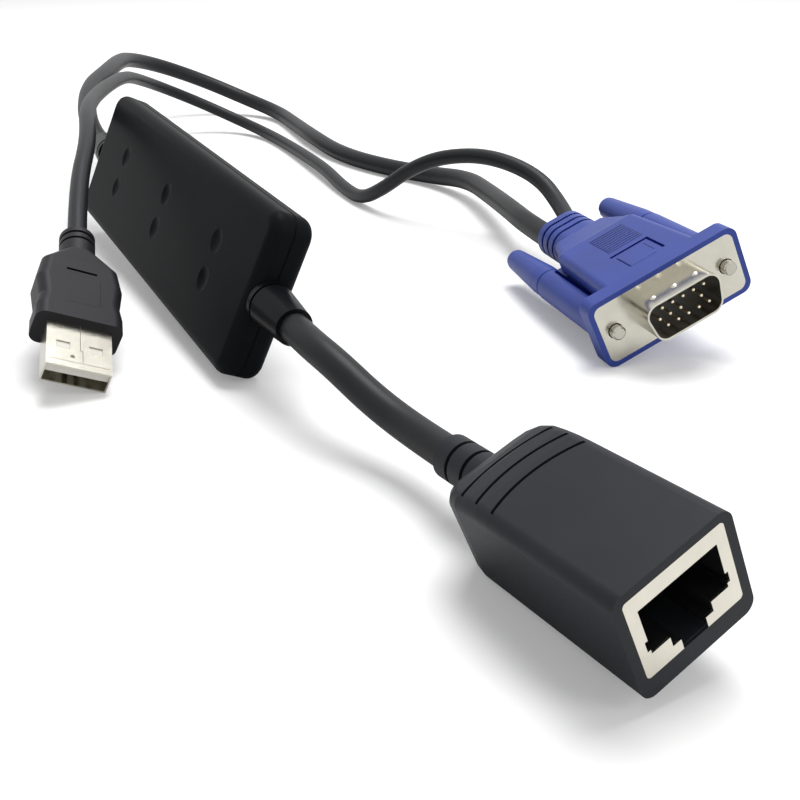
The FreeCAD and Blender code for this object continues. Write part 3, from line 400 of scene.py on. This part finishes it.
# %% [markdown]
# The USB plug's grip has one engraved line, drawn as a bar of painted shade, and a faintly raised
# panel.
# Its shell is one folded sheet, so a seam runs down its broad side, with a small punched mark beside
# it.

# %% The painted-shade line and the panel of the USB grip
GRIP_TOP = 3.95
# Painted shade: a near-black bar stands in for the shade of the engraved line.
shape = bmesh.new()
add_bar(shape, Matrix.Translation((-26.4, -0.1, GRIP_TOP)), 0.55, 5.9, 0.24)
usb_line_shade = finish_piece(shape, "usb_line_shade", "usb", groove_shade_black)

PANEL_SINK = 0.07
shape = bmesh.new()
add_bar(shape, Matrix.Translation((-20.4, 0.2, GRIP_TOP - PANEL_SINK)), 8.0, 6.6, 0.3, edge=0.1)
usb_panel = finish_piece(shape, "usb_panel", "usb", plug_grey)

# %% [markdown]
# The seam has a small step in it, where one edge of the sheet hooks into the other, and a fold
# line crosses the shell just behind its mouth. The mark is a low cone frustum.

# %% Seam and mark of the USB shell
SHELL_TOP, SEAM_WIDE, SEAM_HIGH = 2.2, 0.13, 0.14
shape = bmesh.new()
add_bar(shape, Matrix.Translation((-8.4, 0.1, SHELL_TOP)), 7.0, SEAM_WIDE, SEAM_HIGH, edge=0.02)
add_bar(shape, Matrix.Translation((-4.85, 0.35, SHELL_TOP)), SEAM_WIDE, 0.6, SEAM_HIGH, edge=0.02)
add_bar(shape, Matrix.Translation((-3.4, 0.6, SHELL_TOP)), 2.9, SEAM_WIDE, SEAM_HIGH, edge=0.02)
add_bar(shape, Matrix.Translation((-1.5, 0.0, SHELL_TOP)), 0.12, 11.2, 0.13, edge=0.02)
usb_seam = finish_piece(shape, "usb_seam", "usb", seam_shadow)

shape = bmesh.new()
mark = Matrix.Translation((-2.95, -1.25, SHELL_TOP + 0.02))
bmesh.ops.create_cone(shape, cap_ends=True, segments=20, radius1=0.5, radius2=0.42, depth=0.16,
                      matrix=mark)
usb_mark = finish_piece(shape, "usb_mark", "usb", seam_shadow)

# %% [markdown]
# The pieces that go with the video cord and with the USB cord are listed here.

video_pieces = [node[name] for name in (
    "far_boot", "video_hood", "flange_shell", "rear_flange", "pin_block",
    "video_inner_mould", "left_screw", "left_knob", "right_screw", "right_knob")]
video_pieces += [patch, ribs, panel, groove_shade_bars, gap_shade_sleeves, pin_rows]
usb_pieces = [node[name] for name in (
    "usb_overmould", "usb_shell", "usb_tongue_block", "usb_contacts", "usb_inner_mould")]
usb_pieces += [usb_line_shade, usb_panel, usb_seam, usb_mark]

# %% [markdown]
# ## Table, light and camera
# The table is one large pale sheet. To the camera it also glows a little, so that it reads as
# white around the shadow without any extra lamp on the object.

# %% The table
table_mesh = bpy.data.meshes.new("table")
shape = bmesh.new()
bmesh.ops.create_grid(shape, x_segments=1, y_segments=1, size=4.0)
shape.to_mesh(table_mesh)
shape.free()
table = bpy.data.objects.new("table", table_mesh)
bpy.context.scene.collection.objects.link(table)
print("table:", [round(side, 2) for side in table.dimensions])

TABLE_GLOW = 0.22
paper = bpy.data.materials.new("table_white")
paper.use_nodes = True
tree = paper.node_tree
tree.nodes.clear()
output = tree.nodes.new("ShaderNodeOutputMaterial")
matt = tree.nodes.new("ShaderNodeBsdfDiffuse")
matt.inputs["Color"].default_value = (0.80, 0.80, 0.80, 1)
glow = tree.nodes.new("ShaderNodeEmission")
both = tree.nodes.new("ShaderNodeAddShader")
path = tree.nodes.new("ShaderNodeLightPath")
weaker = tree.nodes.new("ShaderNodeMath")
weaker.operation = "MULTIPLY"
weaker.inputs[1].default_value = TABLE_GLOW
tree.links.new(path.outputs["Is Camera Ray"], weaker.inputs[0])
tree.links.new(weaker.outputs[0], glow.inputs["Strength"])
tree.links.new(matt.outputs[0], both.inputs[0])
tree.links.new(glow.outputs[0], both.inputs[1])
tree.links.new(both.outputs[0], output.inputs["Surface"])
table_mesh.materials.append(paper)

# %% [markdown]
# A white room gives the even light, and one wide panel overhead gives the soft highlights on
# the edges and the shadow under the box.

# %% The room
ROOM_LIGHT = 0.42
world = bpy.data.worlds.new("studio")
world.use_nodes = True
backdrop = world.node_tree.nodes["Background"]
sky = world.node_tree
ray = sky.nodes.new("ShaderNodeLightPath")
seen = sky.nodes.new("ShaderNodeMapRange")
seen.inputs["To Min"].default_value = ROOM_LIGHT
seen.inputs["To Max"].default_value = 1.0
mirrored = sky.nodes.new("ShaderNodeMath")
mirrored.operation = "MAXIMUM"
through = sky.nodes.new("ShaderNodeMath")
through.operation = "MAXIMUM"
sky.links.new(ray.outputs["Is Camera Ray"], mirrored.inputs[0])
sky.links.new(ray.outputs["Is Glossy Ray"], mirrored.inputs[1])
sky.links.new(mirrored.outputs[0], through.inputs[0])
sky.links.new(ray.outputs["Is Transmission Ray"], through.inputs[1])
sky.links.new(through.outputs[0], seen.inputs["Value"])
sky.links.new(seen.outputs["Result"], backdrop.inputs["Strength"])
backdrop.inputs["Color"].default_value = (1, 1, 1, 1)
bpy.context.scene.world = world
print("the room lights at", ROOM_LIGHT, "and shows at 1.0")

# %% [markdown]
# The overhead panel stands far enough off to throw a soft shadow. The side panel is weak, and
# only lifts the faces that look towards the video plug.

# %% Two light panels

def add_panel(name, where, aim, size, power):
    """A square light panel that faces a point."""
    lamp = bpy.data.lights.new(name, "AREA")
    lamp.size = size
    lamp.energy = power
    holder = bpy.data.objects.new(name, lamp)
    holder.location = where
    holder.rotation_euler = (Vector(aim) - Vector(where)).to_track_quat("-Z", "Y").to_euler()
    bpy.context.scene.collection.objects.link(holder)
    print(name, "stands", round((Vector(where) - Vector(aim)).length, 2), "m away")


add_panel("overhead_panel", (-0.15, 0.25, 0.95), (0, 0.02, 0), 0.6, 10.0)
add_panel("side_panel", (0.75, 0.45, 0.55), (0.05, 0.02, 0), 0.4, 1.8)

# %% [markdown]
# The camera stands low and close at the socket's end, so the socket is large and the box runs
# away from it. The view transform is the plain one, which keeps the white table white.

# %% The camera
lens = bpy.data.cameras.new("view_from_socket_end")
lens.lens = 46.185
lens.sensor_width = 36.0
lens.clip_start = 0.005
camera = bpy.data.objects.new("camera", lens)
camera.location = (0.22386, -0.06071, 0.08204)
camera.rotation_euler = (math.radians(64), 0, math.radians(62.31))
bpy.context.scene.collection.objects.link(camera)
bpy.context.scene.camera = camera
bpy.context.scene.view_settings.view_transform = "Standard"
print("camera at", tuple(camera.location), "with a lens of", round(lens.lens, 1), "mm")
